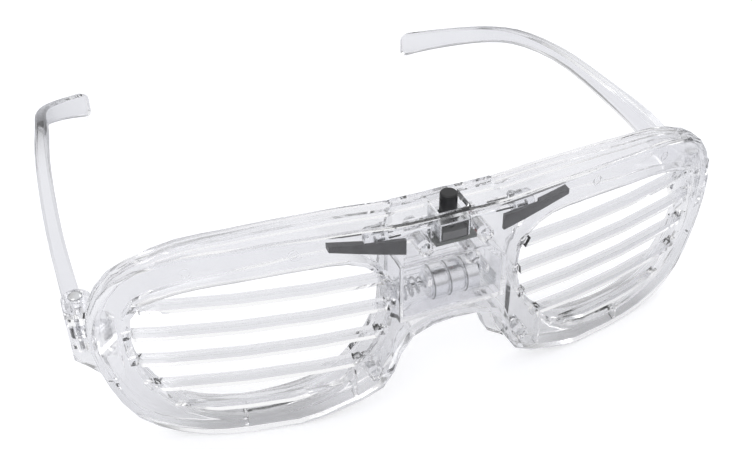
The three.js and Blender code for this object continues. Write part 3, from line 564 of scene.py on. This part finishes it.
def emitter_metal(side):
    """The two posts inside an emitter, one of them with a reflector cup."""
    low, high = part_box(f"led_{side}")
    way = 1.0 if side == "right" else -1.0
    middle_y = (low.y + high.y) / 2
    middle_z = high.z - (high.y - low.y) / 2
    shape = bmesh.new()
    for place, reach in ((-POST_PLACE, SHORT_POST_END), (POST_PLACE, LONG_POST_END)):
        ends = sorted((way * (LENS_START + POST_START), way * (LENS_START + reach)))
        add_box(
            shape,
            (ends[0], middle_y + place - POST_HALF, middle_z - POST_HALF),
            (ends[1], middle_y + place + POST_HALF, middle_z + POST_HALF),
            POST_BEVEL,
        )
    cup = sorted((way * (LENS_START + CUP_START), way * (LENS_START + CUP_END)))
    add_box(
        shape,
        (cup[0], middle_y - CUP_FRONT, middle_z - CUP_HALF),
        (cup[1], middle_y - CUP_BACK, middle_z + CUP_HALF),
        CUP_BEVEL,
    )
    small_piece(f"emitter_posts_{side}", shape, MATERIALS["steel"])


def add_fillet(shape, middle, half_sizes):
    """Adds a drop of solder."""
    drop = bmesh.ops.create_icosphere(shape, subdivisions=3, radius=1.0)["verts"]
    bmesh.ops.scale(shape, vec=half_sizes, verts=drop)
    bmesh.ops.translate(shape, vec=middle, verts=drop)


def solder_joints():
    """Tin fillets round the emitters' legs on top of the board and the leads under it."""
    under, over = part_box("circuit_board")
    shape = bmesh.new()
    for side in ("left", "right"):
        low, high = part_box(f"led_{side}")
        x = low.x + LEG_SOLDER_INSET if side == "right" else high.x - LEG_SOLDER_INSET
        middle_y = (low.y + high.y) / 2
        for y in (middle_y - POST_PLACE, middle_y + POST_PLACE):
            add_fillet(shape, (x, y, over.z + LEG_SOLDER_RISE), LEG_SOLDER)
    for lead in ("lead_positive", "lead_negative"):
        low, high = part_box(lead)
        x = low.x + LEAD_SOLDER_INSET if low.x > 0.0 else high.x - LEAD_SOLDER_INSET
        add_fillet(shape, (x, (low.y + high.y) / 2, under.z - LEAD_SOLDER_DROP), LEAD_SOLDER)
    small_piece("solder_joints", shape, MATERIALS["plated_sheet"])


emitter_metal("left")
emitter_metal("right")
solder_joints()


# Studio: a pale floor, a soft dome and two soft lamps

def white_ground():
    """A pale floor, lifted to white where the camera sees it directly, with its shadow kept.

    Seen through the plastic it is lifted less and stays pale grey, as in the photograph.
    """
    shape = bmesh.new()
    bmesh.ops.create_grid(shape, x_segments=1, y_segments=1, size=FLOOR_REACH)
    bmesh.ops.translate(shape, verts=shape.verts, vec=(0.0, 0.0, -FLOOR_DROP))
    mesh = bpy.data.meshes.new("floor")
    shape.to_mesh(mesh)
    shape.free()
    floor = bpy.data.objects.new("floor", mesh)
    bpy.context.scene.collection.objects.link(floor)
    finish = Finish("floor_white", FLOOR_COLOR, FLOOR_ROUGHNESS)
    finish.shader.inputs["Emission Color"].default_value = (1.0, 1.0, 1.0, 1.0)
    rays = finish.tree.nodes.new("ShaderNodeLightPath").outputs
    direct = finish.reckon("MULTIPLY", rays["Is Camera Ray"], FLOOR_LIFT)
    through = finish.reckon("MULTIPLY", rays["Is Transmission Ray"], PLASTIC_LIFT)
    finish.link(finish.reckon("MAXIMUM", direct, through), finish.shader.inputs["Emission Strength"])
    mesh.materials.append(finish.material)


def soft_dome():
    """A white dome, grey at the horizon, which draws grey edges in clear plastic."""
    world = bpy.data.worlds.new("studio")
    bpy.context.scene.world = world
    world.use_nodes = True
    tree = world.node_tree
    background = tree.nodes["Background"]
    background.inputs["Color"].default_value = (1.0, 1.0, 1.0, 1.0)
    apart = tree.nodes.new("ShaderNodeSeparateXYZ")
    tree.links.new(tree.nodes.new("ShaderNodeTexCoord").outputs["Generated"], apart.inputs[0])
    dome = tree.nodes.new("ShaderNodeMapRange")
    dome.interpolation_type = "SMOOTHSTEP"
    dome.inputs["From Min"].default_value = HORIZON_RISE[0]
    dome.inputs["From Max"].default_value = HORIZON_RISE[1]
    dome.inputs["To Min"].default_value = HORIZON
    dome.inputs["To Max"].default_value = 1.0
    tree.links.new(apart.outputs["Z"], dome.inputs["Value"])
    seen = tree.nodes.new("ShaderNodeMath")
    seen.operation = "MAXIMUM"
    tree.links.new(dome.outputs["Result"], seen.inputs[0])
    tree.links.new(tree.nodes.new("ShaderNodeLightPath").outputs["Is Camera Ray"], seen.inputs[1])
    tree.links.new(seen.outputs[0], background.inputs["Strength"])


def soft_lamp(name, place, size, power):
    """A round area lamp that points at the origin."""
    lamp = bpy.data.lights.new(name, "AREA")
    lamp.shape = "DISK"
    lamp.size = size
    lamp.energy = power
    holder = bpy.data.objects.new(name, lamp)
    holder.location = place
    holder.rotation_euler = (-Vector(place)).to_track_quat("-Z", "Y").to_euler()
    bpy.context.scene.collection.objects.link(holder)


def photograph_camera():
    """The camera of the photograph, from its fitted angles, distance and offset."""
    turn, rise, roll = CAMERA_TURN, CAMERA_RISE, CAMERA_ROLL
    away = math.cos(rise)
    back = Vector((math.sin(turn) * away, -math.cos(turn) * away, math.sin(rise)))
    level = Vector((math.cos(turn), math.sin(turn), 0.0))
    upright = back.cross(level)
    right = level * math.cos(roll) + upright * math.sin(roll)
    up = upright * math.cos(roll) - level * math.sin(roll)
    front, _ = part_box("front_shell")
    aim = Vector((0.0, front.y - FRONT_OFFSET, AIM_HEIGHT))
    place = aim - right * CAMERA_OFFSET[0] - up * CAMERA_OFFSET[1] + back * CAMERA_DISTANCE
    camera = bpy.data.cameras.new("camera")
    camera.sensor_width = SENSOR_MM
    camera.lens = FOCAL_PIXELS * SENSOR_MM / FRAME_PIXELS
    camera.clip_start = NEAREST_SEEN
    holder = bpy.data.objects.new("camera", camera)
    holder.matrix_world = Matrix((
        (right.x, up.x, back.x, place.x),
        (right.y, up.y, back.y, place.y),
        (right.z, up.z, back.z, place.z),
        (0.0, 0.0, 0.0, 1.0),
    ))
    bpy.context.scene.collection.objects.link(holder)
    bpy.context.scene.camera = holder


white_ground()
soft_dome()
soft_lamp("key_light", place=(-0.55, -0.5, 0.75), size=0.6, power=2.0)
soft_lamp("fill_light", place=(0.7, 0.3, 0.6), size=0.5, power=0.8)
photograph_camera()
bpy.context.scene.view_settings.view_transform = "Standard"
bpy.context.scene.cycles.max_bounces = CLEAR_BOUNCES
bpy.context.scene.cycles.transmission_bounces = CLEAR_BOUNCES
bpy.context.scene.cycles.glossy_bounces = GLOSSY_BOUNCES
